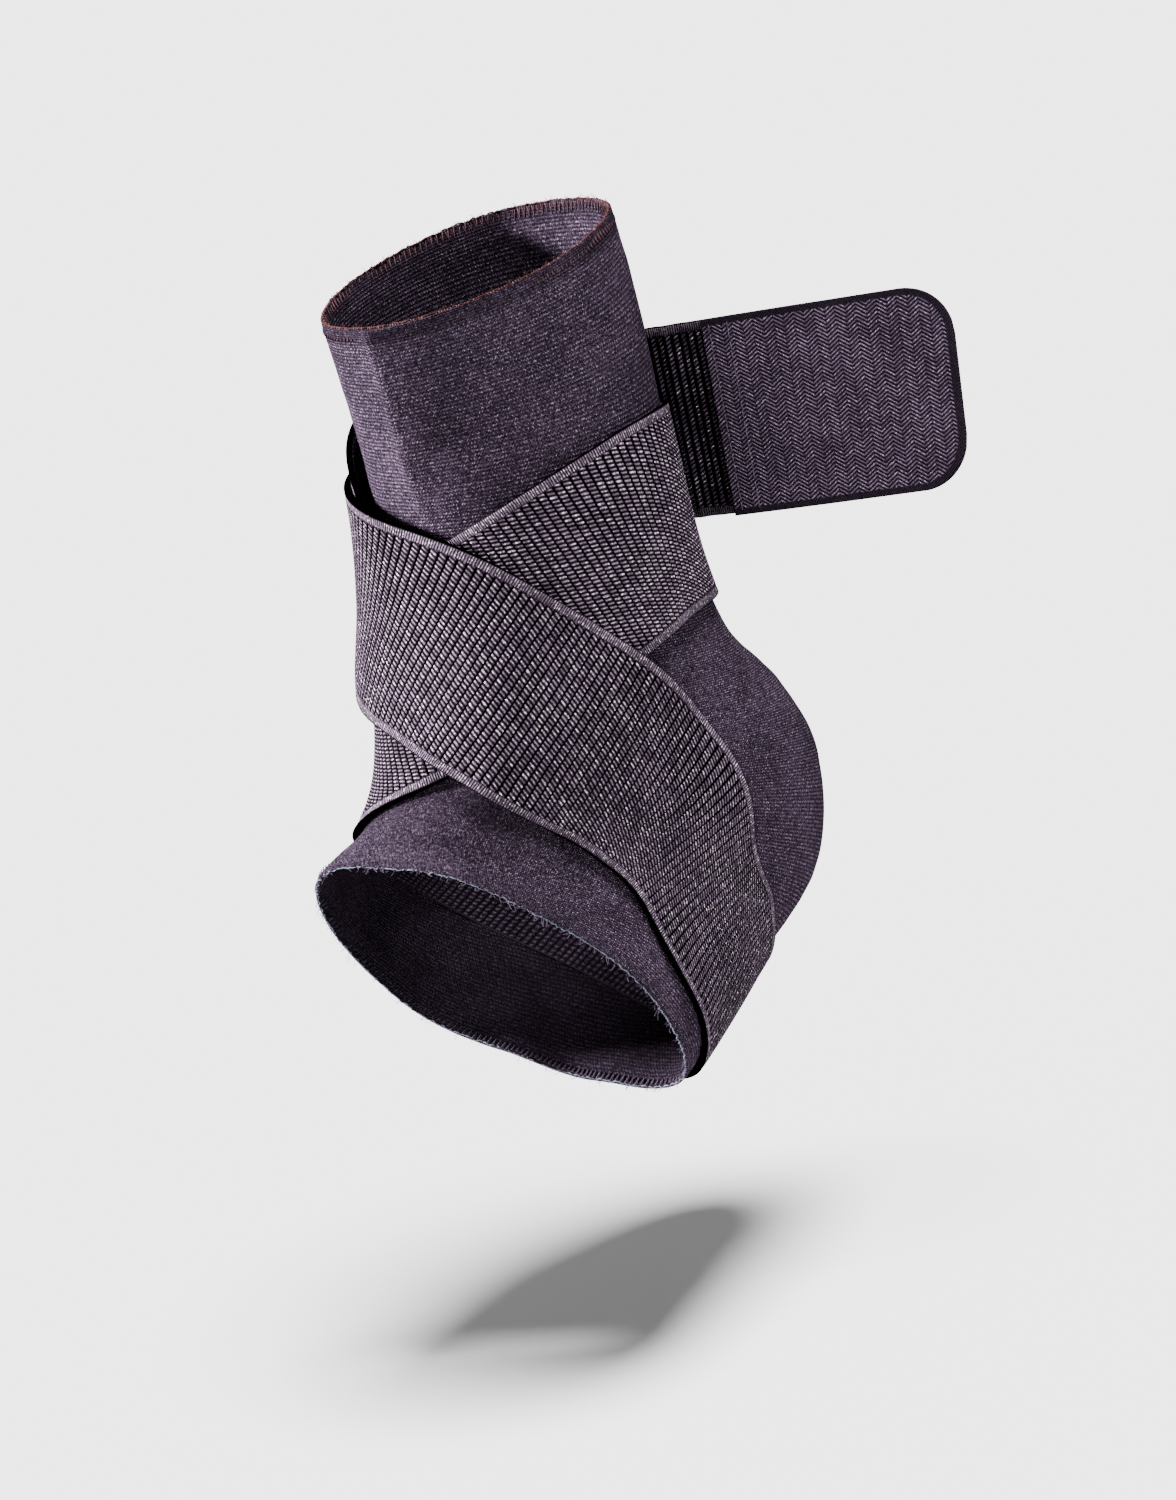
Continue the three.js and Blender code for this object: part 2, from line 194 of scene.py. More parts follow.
def face_frame(row, angle):
    """Slopes of the face along the rows and along the angle, and the outward normal."""
    low, high = np.maximum(0, row - ROW_NUDGE), np.minimum(LAST_ROW, row + ROW_NUDGE)
    along_row = (face_point(high, angle) - face_point(low, angle)) / (high - low)[..., None]
    along_angle = face_point(row, angle + ANGLE_NUDGE) - face_point(row, angle - ANGLE_NUDGE)
    return along_row, along_angle, unit(np.cross(along_row, along_angle))


def offset_point(row, angle, distance):
    """Points that stand off the face by a distance."""
    row, angle, distance = np.broadcast_arrays(row, angle, distance)
    return face_point(row, angle) + face_frame(row, angle)[2] * distance[..., None]


print("Sleeve face at the front of the cuff:", np.round(face_point(0.0, 0.0), 4))

# %% [markdown]
# ## Camera
# The photograph looks at the near front of the brace, 42 degrees round and 15 degrees above, rolled by 13 degrees.
# A long lens about a metre away gives its slight perspective.

# %% Camera
CAMERA_AZIMUTH, CAMERA_ELEVATION, CAMERA_ROLL = (math.radians(degrees) for degrees in (42, 15, 13))
CAMERA_DISTANCE = 1.04167
CAMERA_LENS = 100
SENSOR_WIDTH = 36
FARTHEST_SEEN = 200
VIEW_CENTRE = np.array([0.023465, -0.020162, -0.020450])

away = np.array([math.sin(CAMERA_AZIMUTH) * math.cos(CAMERA_ELEVATION),
                 -math.cos(CAMERA_AZIMUTH) * math.cos(CAMERA_ELEVATION), math.sin(CAMERA_ELEVATION)])
level_right = np.array([math.cos(CAMERA_AZIMUTH), math.sin(CAMERA_AZIMUTH), 0])
level_up = np.cross(away, level_right)
right = math.cos(CAMERA_ROLL) * level_right - math.sin(CAMERA_ROLL) * level_up
up = math.sin(CAMERA_ROLL) * level_right + math.cos(CAMERA_ROLL) * level_up

bpy.ops.object.camera_add()
camera = bpy.context.object
camera.name = "camera"
camera.data.lens = CAMERA_LENS
camera.data.sensor_width = SENSOR_WIDTH
camera.data.clip_end = FARTHEST_SEEN
placing = np.eye(4)
placing[:3, 0], placing[:3, 1], placing[:3, 2] = right, up, away
placing[:3, 3] = VIEW_CENTRE + away * CAMERA_DISTANCE
camera.matrix_world = Matrix(placing.tolist())
bpy.context.scene.camera = camera
print("Camera stands at", np.round(placing[:3, 3], 3))

# %% [markdown]
# ## Nodes for the finishes
# The finishes are built from nodes. These short helpers add a node, join values to it and do sums with nodes, so that
# each finish below reads as one list of steps.

# %% Node helpers
def colour(code):
    """Linear colour from a six-digit code as seen on a screen."""
    parts = [int(code[index:index + 2], 16) / 255 for index in (0, 2, 4)]
    return tuple(part / 12.92 if part <= 0.04045 else ((part + 0.055) / 1.055) ** 2.4 for part in parts) + (1.0,)


def add_node(tree, kind, values=(), **settings):
    """New node with its settings made and its values joined or set. A value is a number or another node's output."""
    made = tree.nodes.new(kind)
    for name, setting in settings.items():
        setattr(made, name, setting)
    for socket, value in dict(values).items():
        if isinstance(value, bpy.types.NodeSocket):
            tree.links.new(value, made.inputs[socket])
        else:
            made.inputs[socket].default_value = value
    return made


def calc(tree, operation, *values):
    """Output of a Math node."""
    return add_node(tree, "ShaderNodeMath", enumerate(values), operation=operation).outputs[0]


def wave(tree, position, pitch):
    """Soft wave from 0 to 1 that repeats every pitch and is 0 where the position is 0."""
    turn = calc(tree, "MULTIPLY", position, 2 * math.pi / pitch)
    return calc(tree, "MULTIPLY_ADD", calc(tree, "COSINE", turn), -0.5, 0.5)


def step_between(tree, value, low, high):
    """Soft step from 0 at the low value to 1 at the high one."""
    ramp = add_node(tree, "ShaderNodeMapRange", {0: value, 1: low, 2: high}, interpolation_type="SMOOTHSTEP")
    return ramp.outputs[0]


def mix_colour(tree, share, first, second):
    """Output of a colour mix."""
    made = add_node(tree, "ShaderNodeMix", {0: share, 6: first, 7: second}, data_type="RGBA")
    return made.outputs[2]


def noise(tree, vector, scale, detail=2.0):
    """Grey noise from 0 to 1. With the vector in millimetres, the scale is the number of grains in a millimetre."""
    made = add_node(tree, "ShaderNodeTexNoise", {"Vector": vector, "Scale": scale, "Detail": detail})
    return made.outputs[0]


def chance(tree, first, second):
    """Random value from 0 to 1 for each pair of counts."""
    pair = add_node(tree, "ShaderNodeCombineXYZ", {0: calc(tree, "FLOOR", first), 1: calc(tree, "FLOOR", second)})
    return add_node(tree, "ShaderNodeTexWhiteNoise", {"Vector": pair.outputs[0]}).outputs["Value"]


def new_group(name, inputs, outputs):
    """Empty node group with named value sockets."""
    tree = bpy.data.node_groups.new(name, "ShaderNodeTree")
    for socket in inputs:
        tree.interface.new_socket(name=socket, in_out="INPUT", socket_type="NodeSocketFloat")
    for socket in outputs:
        tree.interface.new_socket(name=socket, in_out="OUTPUT", socket_type="NodeSocketFloat")
    entry = tree.nodes.new("NodeGroupInput")
    leave = tree.nodes.new("NodeGroupOutput")
    return tree, entry.outputs, leave.inputs


# %% [markdown]
# ## Floor and light
# The brace is held above a plain white floor. A broad lamp high above it throws the soft shadow on the floor, a strong
# lamp at the left rakes over the cloth and picks out its threads, and a pale surround fills the dark side a little.

# %% Floor and light
FLOOR_LEVEL = -0.184
FLOOR_SIZE = 120
FLOOR_GREY = 0.92
SURROUND_STRENGTH = 0.28
SHADOW_PLACE = np.array([-0.0205, -0.0226, FLOOR_LEVEL])
HIGH_LAMP_ENERGY = 13
HIGH_LAMP_SPREAD = math.radians(22)
LEFT_LAMP_ENERGY = 235
LEFT_LAMP_SIZE = 0.22
LEFT_LAMP_ASIDE, LEFT_LAMP_BEHIND, LEFT_LAMP_ABOVE = 1.22, 0.30, 0.60

bpy.ops.mesh.primitive_plane_add(size=FLOOR_SIZE, location=(0, 0, FLOOR_LEVEL))
floor = bpy.context.object
floor.name = "floor"
floor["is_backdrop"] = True
floor_material = bpy.data.materials.new("pale_floor")
floor_material.use_nodes = True
floor_shader = floor_material.node_tree.nodes["Principled BSDF"]
floor_shader.inputs["Base Color"].default_value = (FLOOR_GREY, FLOOR_GREY, FLOOR_GREY, 1)
floor_shader.inputs["Roughness"].default_value = 0.9
floor_shader.inputs["Specular IOR Level"].default_value = 0.0
floor.data.materials.append(floor_material)

surround = bpy.data.worlds.new("surround")
surround.use_nodes = True
surround.node_tree.nodes["Background"].inputs["Color"].default_value = (1, 1, 1, 1)
surround.node_tree.nodes["Background"].inputs["Strength"].default_value = SURROUND_STRENGTH
bpy.context.scene.world = surround


def add_lamp(name, kind, place, aim, energy, **settings):
    """Lamp at a place that looks at a point."""
    bpy.ops.object.light_add(type=kind, location=tuple(place))
    lamp = bpy.context.object
    lamp.name = name
    lamp.data.energy = energy
    for setting, value in settings.items():
        setattr(lamp.data, setting, value)
    back = np.array(place) - np.array(aim)
    back /= np.linalg.norm(back)
    side = np.cross((0.0, 1.0, 0.0), back)
    side /= np.linalg.norm(side)
    turn = np.eye(4)
    turn[:3, 0], turn[:3, 1], turn[:3, 2], turn[:3, 3] = side, np.cross(back, side), back, place
    lamp.matrix_world = Matrix(turn.tolist())
    return lamp


shadow_way = VIEW_CENTRE - SHADOW_PLACE
add_lamp("high_lamp", "SUN", VIEW_CENTRE + shadow_way * 5, VIEW_CENTRE, HIGH_LAMP_ENERGY,
         angle=HIGH_LAMP_SPREAD)
left_place = VIEW_CENTRE - level_right * LEFT_LAMP_ASIDE - away * LEFT_LAMP_BEHIND + (0, 0, LEFT_LAMP_ABOVE)
left_lamp = add_lamp("left_lamp", "AREA", left_place, VIEW_CENTRE, LEFT_LAMP_ENERGY, size=LEFT_LAMP_SIZE)

# %% [markdown]
# ## Grids and modifiers
# Each sheet of cloth starts as a flat grid whose vertices are then moved to their places. Slow waves give cloth the
# slight unevenness that it has even when it is pulled tight.

# %% Grid helpers
def add_grid(name, steps_along, steps_across):
    """Flat square grid with even UVs. Returns the object and each vertex's two step numbers."""
    bpy.ops.mesh.primitive_grid_add(x_subdivisions=steps_along, y_subdivisions=steps_across, size=1)
    made = bpy.context.object
    made.name = name
    places = np.empty(len(made.data.vertices) * 3)
    made.data.vertices.foreach_get("co", places)
    steps = (places.reshape(-1, 3)[:, :2] + 0.5) * (steps_along, steps_across)
    return made, np.rint(steps).astype(int)


def set_places(piece, points):
    """Moves every vertex of a piece to its point."""
    piece.data.vertices.foreach_set("co", np.ascontiguousarray(points, dtype=np.float32).ravel())
    piece.data.update()


def apply_modifier(piece, kind, **settings):
    """Adds a modifier and applies it."""
    bpy.ops.object.select_all(action="DESELECT")
    piece.select_set(True)
    bpy.context.view_layer.objects.active = piece
    modifier = piece.modifiers.new(kind.title(), kind)
    for name, setting in settings.items():
        setattr(modifier, name, setting)
    bpy.ops.object.modifier_apply(modifier=modifier.name)


def soft_waves(points, seed, size):
    """Slow unevenness of cloth, from about -1 to 1, over the given size."""
    maker = np.random.default_rng(seed)
    total = np.zeros(points.shape[:-1])
    for _ in range(10):
        direction = unit(maker.normal(size=3)) * maker.uniform(0.7, 1.6) * 2 * math.pi / size
        total += np.sin(points @ direction + maker.uniform(0, 2 * math.pi))
    return total / 10 ** 0.5

# %% [markdown]
# ## Sleeve
# The real sleeve is one knitted tube, shaped at the heel. A flat grid is laid on the face function and closed at the
# back of the leg. A soft crest runs down the front from the cuff, steep on the left and gentle on the right, where the
# photograph shows the knit folded over a ridge.

# %% Sleeve
SLEEVE_STEPS_ALONG = 190
SLEEVE_STEPS_ROUND = 170
BROAD_WAVES, FINE_WAVES = 0.00012, 0.00006
CREST_ANGLE = 1.5
CREST_LEFT = 5.0
CREST_RIGHT = 17.0
CREST_HEIGHT = 0.0042
CREST_END = 2.35
CREST_FADE = 1.0

sleeve, steps = add_grid("knit_sleeve", SLEEVE_STEPS_ALONG, SLEEVE_STEPS_ROUND)
sleeve_rows = steps[:, 0] / SLEEVE_STEPS_ALONG * LAST_ROW
sleeve_angles = steps[:, 1] / SLEEVE_STEPS_ROUND * 360 - 180
face = face_point(sleeve_rows, sleeve_angles)
unevenness = BROAD_WAVES * soft_waves(face, 3, 0.030) + FINE_WAVES * soft_waves(face, 4, 0.010)
past_crest = sleeve_angles - CREST_ANGLE
crest = np.exp(-np.abs(past_crest) / np.where(past_crest < 0, CREST_LEFT, CREST_RIGHT))
crest *= smooth((CREST_END - sleeve_rows) / CREST_FADE)
set_places(sleeve, offset_point(sleeve_rows, sleeve_angles, unevenness + CREST_HEIGHT * crest))
apply_modifier(sleeve, "WELD", merge_threshold=0.00002)

# %% [markdown]
# ## Sleeve wall
# The knit is 2.2 mm thick and thins out towards its two cut edges. A vertex group holds the share of the thickness,
# and a Solidify modifier adds the inner face. Its vertices are marked, so that the finish can tell the inside apart.

# %% Sleeve wall
RIM_TAPER = 0.006
RIM_SHARE = 0.35
RIM_LEVELS = 10
RIM_POINTS = 120


def distance_to_rim(points, rim):
    """Distance of each point to the nearest of some points along a rim."""
    along = face_point(np.full(RIM_POINTS, float(rim)), np.arange(RIM_POINTS) * 360 / RIM_POINTS)
    return np.min(np.linalg.norm(points[:, None] - along, axis=-1), axis=1)


outer_count = len(sleeve.data.vertices)
outer_points = np.empty(outer_count * 3)
sleeve.data.vertices.foreach_get("co", outer_points)
outer_points = outer_points.reshape(-1, 3)
near_rim = np.minimum(distance_to_rim(outer_points, 0), distance_to_rim(outer_points, LAST_ROW))
thick = sleeve.vertex_groups.new(name="thick")
for level in range(RIM_LEVELS + 1):
    chosen = np.flatnonzero(np.rint(RIM_LEVELS * smooth(near_rim / RIM_TAPER)) == level)
    thick.add(chosen.tolist(), RIM_SHARE + (1 - RIM_SHARE) * level / RIM_LEVELS, "REPLACE")
apply_modifier(sleeve, "SOLIDIFY", thickness=KNIT_WALL, offset=-1, vertex_group="thick")
inside = (np.arange(len(sleeve.data.vertices)) >= outer_count).astype(float)
sleeve.data.attributes.new("inside", "FLOAT", "POINT").data.foreach_set("value", inside)
bpy.ops.object.shade_smooth()
print("Sleeve faces:", len(sleeve.data.polygons))

# %% [markdown]
# ## Knit
# Close up, the knit is rows of small V-shaped loops, with dark gaps between them, which is painted shade, and a fine
# fuzz on top. A node group draws one loop from two counts, wales round the leg and courses along it. Its height and its
# thread are put out.

# %% Knit loops
LOOP_SLANT = 1.1

knit_loops, came, left = new_group("knit_loops", ("Wale", "Course"), ("Height", "Thread"))
arm = calc(knit_loops, "ABSOLUTE", calc(knit_loops, "SUBTRACT", calc(knit_loops, "FRACT", came["Wale"]), 0.5))
slanted = calc(knit_loops, "MULTIPLY_ADD", arm, LOOP_SLANT, came["Course"])
strand = wave(knit_loops, slanted, 1)
body = calc(knit_loops, "MULTIPLY", step_between(knit_loops, arm, 0.0, 0.14),
            step_between(knit_loops, arm, 0.5, 0.36))
loop = calc(knit_loops, "MULTIPLY", strand, body)
luck = chance(knit_loops, came["Wale"], slanted)
raised = calc(knit_loops, "MULTIPLY", calc(knit_loops, "MULTIPLY_ADD", luck, 0.5, 0.5), loop)
# Painted shade: the thread is dimmed in the gaps between loops.
tinted = calc(knit_loops, "MULTIPLY", calc(knit_loops, "MULTIPLY_ADD", luck, 0.45, 0.4),
              calc(knit_loops, "MULTIPLY_ADD", loop, 0.85, 0.15))
knit_loops.links.new(raised, left["Height"])
knit_loops.links.new(tinted, left["Thread"])

# %% [markdown]
# ## Cloth finish
# Every cloth here is finished in the same way: nearly black between the threads, as painted shade in the gaps,
# lighter on them, and brightest in small specks, which are painted glints where a fibre catches the light. The cloth
# has no shine of its own. Its weave comes from a node group.

# %% Cloth finish
PATCH_SCALE = 0.07
PAINTED_GLINT_SHARE = 0.85
FUZZ_SHARE = 0.7


def start_material(name):
    """New material without shine, with its tree, its shader and its coordinates."""
    material = bpy.data.materials.new(name)
    material.use_nodes = True
    tree = material.node_tree
    shader = tree.nodes["Principled BSDF"]
    shader.inputs["Specular IOR Level"].default_value = 0.0
    coordinates = tree.nodes.new("ShaderNodeTexCoord")
    return material, tree, shader, coordinates


def uv_parts(tree, coordinates):
    """The two UV values as outputs 0 and 1."""
    return add_node(tree, "ShaderNodeSeparateXYZ", {0: coordinates.outputs["UV"]}).outputs


def mix_value(tree, share, first, second):
    """Output of a value mix."""
    return add_node(tree, "ShaderNodeMix", {0: share, 2: first, 3: second}, data_type="FLOAT").outputs[0]


def faded(tree, value, share, by):
    """The value, made smaller by a part of itself where the share is 1."""
    return calc(tree, "MULTIPLY", value, calc(tree, "MULTIPLY_ADD", share, -by, 1.0))


def millimetres(tree, coordinates):
    """The place on the object in millimetres."""
    scaled = add_node(tree, "ShaderNodeVectorMath", {0: coordinates.outputs["Object"], 3: 1000.0}, operation="SCALE")
    return scaled.outputs[0]


def cloth_finish(tree, shader, place, weave_outputs, codes, depth, roughness, grain, mottling):
    """Joins a weave's height and thread to a shader, with painted gap shade, thread and painted glint colours."""
    relief, thread = weave_outputs
    dark, light, glint_colour = (colour(code) for code in codes)
    fuzz = noise(tree, place, grain, 3)
    mottle = step_between(tree, fuzz, 0.38, 0.62)
    patches = step_between(tree, noise(tree, place, PATCH_SCALE, 2), 0.3, 0.7)
    lit = calc(tree, "MULTIPLY", thread, calc(tree, "MULTIPLY_ADD", mottle, mottling, 1 - mottling / 2))
    lit = calc(tree, "MULTIPLY", lit, calc(tree, "MULTIPLY_ADD", patches, 0.4, 0.8))
    # The dark colour, between the threads, is painted shade.
    base = mix_colour(tree, lit, dark, light)
    # Painted glints: specks of nearly white on the thread tops, where a fibre would catch the light.
    painted_glints = calc(tree, "MULTIPLY", step_between(tree, fuzz, 0.57, 0.64), step_between(tree, thread, 0.3, 0.7))
    base = mix_colour(tree, calc(tree, "MULTIPLY", painted_glints, PAINTED_GLINT_SHARE), base, glint_colour)
    tree.links.new(base, shader.inputs["Base Color"])
    shader.inputs["Roughness"].default_value = roughness
    surface = calc(tree, "MULTIPLY_ADD", fuzz, FUZZ_SHARE, relief)
    bump = add_node(tree, "ShaderNodeBump", {"Strength": 1.0, "Distance": depth, "Height": surface})
    tree.links.new(bump.outputs[0], shader.inputs["Normal"])


# %% [markdown]
# ## Knit material
# The knit is the same all over but for three places. A band of knitted ribs shows inside the foot opening, the edge of
# the cuff is darker, and the inside towards the foot is darker too, as painted shade where little light reaches.

# %% Knit material
KNIT_WALES = 300
KNIT_COURSES = 250
HEM_END = 0.24
HEM_DARKER = 0.35
INSIDE_PAINTED_SHADE = 0.65
BAND_ROWS = 1.3
BAND_TURN = 0.34
SEAM_START = 7.9
SEAM_DROP = 2.0
SEAM_RIBS = 150
SEAM_DOTS = 22

knit, tree, shader, coordinates = start_material("knit")
uv = uv_parts(tree, coordinates)
inner_side = add_node(tree, "ShaderNodeAttribute", attribute_name="inside").outputs["Fac"]
loops = add_node(tree, "ShaderNodeGroup", node_tree=knit_loops)
tree.links.new(calc(tree, "MULTIPLY", uv[0], KNIT_COURSES), loops.inputs["Course"])
tree.links.new(calc(tree, "MULTIPLY", uv[1], KNIT_WALES), loops.inputs["Wale"])

from_cuff = calc(tree, "MULTIPLY", uv[0], LAST_ROW)
turned = calc(tree, "SUBTRACT", calc(tree, "FRACT", calc(tree, "SUBTRACT", 1.3, uv[1])), 0.1)
past_seam = calc(tree, "SUBTRACT", from_cuff, calc(tree, "MULTIPLY_ADD", turned, SEAM_DROP, SEAM_START))
band = calc(tree, "MULTIPLY", step_between(tree, past_seam, 0.03, -0.03),
            step_between(tree, past_seam, -BAND_ROWS, 0.1 - BAND_ROWS))
band = calc(tree, "MULTIPLY", band, step_between(tree, turned, BAND_TURN, BAND_TURN - 0.04))
band = calc(tree, "MULTIPLY", band, inner_side)
band_rib = calc(tree, "POWER", wave(tree, calc(tree, "MULTIPLY", uv[1], SEAM_RIBS), 1), 0.7)
band_dot = wave(tree, calc(tree, "MULTIPLY", past_seam, SEAM_DOTS), 1)
band_thread = calc(tree, "MULTIPLY", band_rib, calc(tree, "MULTIPLY_ADD", band_dot, 0.8, 0.2))

# Painted shade: the inside of the knit gets darker from row 3.5 to row 6.5, towards the foot.
in_shade = calc(tree, "MULTIPLY", inner_side, step_between(tree, from_cuff, 3.5, 6.5))
in_hem = step_between(tree, from_cuff, HEM_END + 0.03, HEM_END - 0.03)
knit_thread = mix_value(tree, band, loops.outputs["Thread"], band_thread)
knit_thread = faded(tree, faded(tree, knit_thread, in_shade, INSIDE_PAINTED_SHADE), in_hem, HEM_DARKER)
knit_height = mix_value(tree, band, loops.outputs["Height"], band_thread)
cloth_finish(tree, shader, millimetres(tree, coordinates), (knit_height, knit_thread),
             ("080609", "5d4d61", "a091a3"), depth=0.0007, roughness=0.7, grain=2.0, mottling=1.4)

sleeve.data.materials.append(knit)
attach(sleeve, "root")
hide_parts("sleeve")

# %% [markdown]
# ## Threads
# Hems, seams and stitch lines are real thread, thin enough to be tubes along a row of points. All the threads of one
# kind are splines of one curve, which is turned into a mesh.

# %% Thread maker
def thread_finish(name, dark, light):
    """Matt thread whose colour varies a little along it."""
    material, tree, shader, coordinates = start_material(name)
    place = millimetres(tree, coordinates)
    base = mix_colour(tree, noise(tree, place, 1.3, 2), colour(dark), colour(light))
    tree.links.new(base, shader.inputs["Base Color"])
    shader.inputs["Roughness"].default_value = 0.8
    twist = noise(tree, place, 5.0, 1)
    bump = add_node(tree, "ShaderNodeBump", {"Strength": 0.6, "Distance": 0.0002, "Height": twist})
    tree.links.new(bump.outputs[0], shader.inputs["Normal"])
    return material


def add_threads(name, paths, radius, material, closed=False):
    """One mesh of thread tubes, one for each path of points."""
    curve = bpy.data.curves.new(name, "CURVE")
    curve.dimensions = "3D"
    curve.bevel_depth = radius
    curve.bevel_resolution = 1
    for path in paths:
        spline = curve.splines.new("POLY")
        spline.points.add(len(path) - 1)
        spline.points.foreach_set("co", np.c_[path, np.ones(len(path))].astype(np.float32).ravel())
        spline.use_cyclic_u = closed
        spline.use_smooth = True
    piece = bpy.data.objects.new(name, curve)
    bpy.context.collection.objects.link(piece)
    bpy.ops.object.select_all(action="DESELECT")
    piece.select_set(True)
    bpy.context.view_layer.objects.active = piece
    bpy.ops.object.convert(target="MESH")
    piece = bpy.context.object
    piece.data.materials.append(material)
    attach(piece, "root")
    return piece


# %% [markdown]
# ## Hems
# The cuff is finished with an overlock: one thread goes down the outside, over the edge and down the inside, over and
# over, and a reddish-brown thread runs along the edge itself. The foot opening has a thin pale raw edge with some
# short loose fibres.

# %% Hems
OVERLOCK_DEPTH = 0.0030
OVERLOCK_STITCHES = 150
FOOT_STITCH_DEPTH = 0.0022
FOOT_STITCHES = 190
FIBRE_RADIUS = 0.00006
THREAD_OFF = 0.00016
RIM_WALL = KNIT_WALL * 0.55


def rim_frame(row, angle):
    """Points in the middle of a rim, the outward normal, and the direction away from the cloth."""
    along_row, _, normal = face_frame(row, angle)
    middle = face_point(row, angle) - normal * RIM_WALL / 2
    return middle, normal, unit(along_row) * (-1 if row[0] < 1 else 1)


def overlock(row, stitches, depth):
    """Closed path of a thread that is wound over a rim."""
    turns = np.arange(stitches * 4) / (stitches * 4)
    middle, normal, outward = rim_frame(np.full(len(turns), float(row)), turns * 360)
    part = np.arange(len(turns)) % 4
    side = np.choose(part, (1, 0, -1, 0))[:, None]
    up = np.where(part % 2 == 1, THREAD_OFF, -depth)[:, None]
    return middle + normal * side * (RIM_WALL / 2 + THREAD_OFF) + outward * up


def rim_line(row, count, seed, sway, lift):
    """Closed path that runs along a rim and sways a little."""
    maker = np.random.default_rng(seed)
    middle, normal, outward = rim_frame(np.full(count, float(row)), np.arange(count) / count * 360)
    return (middle + normal * maker.uniform(-sway, sway, (count, 1))
            + outward * (lift + maker.uniform(-sway, sway, (count, 1)) * 0.5))


def fibres(row, count, seed, longest):
    """Short loose fibres that stand out of a rim."""
    maker = np.random.default_rng(seed)
    angles = maker.uniform(0, 360, count)
    middle, normal, outward = rim_frame(np.full(count, float(row)), angles)
    side = unit(np.cross(normal, outward))
    lengths = maker.uniform(0.3, 1.0, (count, 1)) * longest
    bend = maker.uniform(-1, 1, (count, 2))
    root = middle + normal * maker.uniform(-0.5, 0.5, (count, 1)) * RIM_WALL
    mid = root + outward * lengths * 0.6 + side * bend[:, :1] * lengths * 0.4
    tip = root + outward * lengths + side * bend[:, :1] * lengths + normal * bend[:, 1:] * lengths * 0.5
    return np.stack([root, mid, tip], axis=1)


# %% [markdown]
# ## Hem pieces
# Each kind of thread has its own colour: dark for sewing, reddish brown at the cuff and pale at the foot. All of them
# go with the sleeve, whose flat size is a rectangle of about the same area as its wall.

# %% Hem pieces
dark_thread = thread_finish("dark_thread", "171219", "574a5a")
overlock_thread = thread_finish("overlock_thread", "1d1114", "664a52")
brown_thread = thread_finish("brown_thread", "120909", "4a2b28")
pale_thread = thread_finish("pale_thread", "2f333e", "6d7583")
seam_thread = thread_finish("seam_thread", "0b090c", "2a242c")

hems = [
    add_threads("cuff_overlock", [overlock(0, OVERLOCK_STITCHES, OVERLOCK_DEPTH)], 0.00021, overlock_thread,
                closed=True),
    add_threads("cuff_edge", [rim_line(0, 360, 7, 0.0005, 0.0001)], 0.00020, brown_thread, closed=True),
    add_threads("cuff_fibres", fibres(0, 150, 8, 0.0014), FIBRE_RADIUS, brown_thread),
    add_threads("foot_overlock", [overlock(LAST_ROW, FOOT_STITCHES, FOOT_STITCH_DEPTH)], 0.00015, dark_thread,
                closed=True),
    add_threads("foot_edge", [rim_line(LAST_ROW, 420, 9, 0.0004, 0.0)], 0.00017, pale_thread, closed=True),
    add_threads("foot_fibres", fibres(LAST_ROW, 220, 10, 0.0020), FIBRE_RADIUS, dark_thread),
]
seam_turns = np.linspace(-0.05, 0.30, 160)
seam_depth = np.array(-KNIT_WALL - 0.0001)
seam_path = offset_point(SEAM_START + SEAM_DROP * seam_turns, -108 - seam_turns * 360, seam_depth)
hems.append(add_threads("inner_seam", [seam_path], 0.0003, seam_thread))
print("Hem pieces:", len(hems))

# %% [markdown]
# ## Straps
# Each strap is one band of woven elastic, 51 mm wide, that lies flat on the sleeve along its path. Points are marched
# out sideways from the path on the sleeve's face, so the band keeps its width and bends as a ribbon does. Ribs run
# across the band every 2.1 mm, so they are raised in the mesh.

# %% Where the straps lie
RIB_PITCH = 0.0021
STRAP_STEP = RIB_PITCH / 4
RUN_SPAN = 34
PATH_SAMPLES = 48
STRAP_CELLS = 32
RIB_DEPTH = 0.00022
SELVEDGE = 0.0024


def dot(first, second):
    """Dot products of two rows of vectors."""
    return np.sum(first * second, axis=-1)


def walk(row, angle, direction, distance):
    """Moves places on the face by a small step along directions in space, and turns the directions with them."""
    along_row, along_angle, normal = face_frame(row, angle)
    flat = unit(direction - normal * dot(direction, normal)[..., None])
    rr, ra, aa = dot(along_row, along_row), dot(along_row, along_angle), dot(along_angle, along_angle)
    fr, fa = dot(flat, along_row) * distance, dot(flat, along_angle) * distance
    area = rr * aa - ra * ra
    return row + (fr * aa - fa * ra) / area, angle + (fa * rr - fr * ra) / area, flat


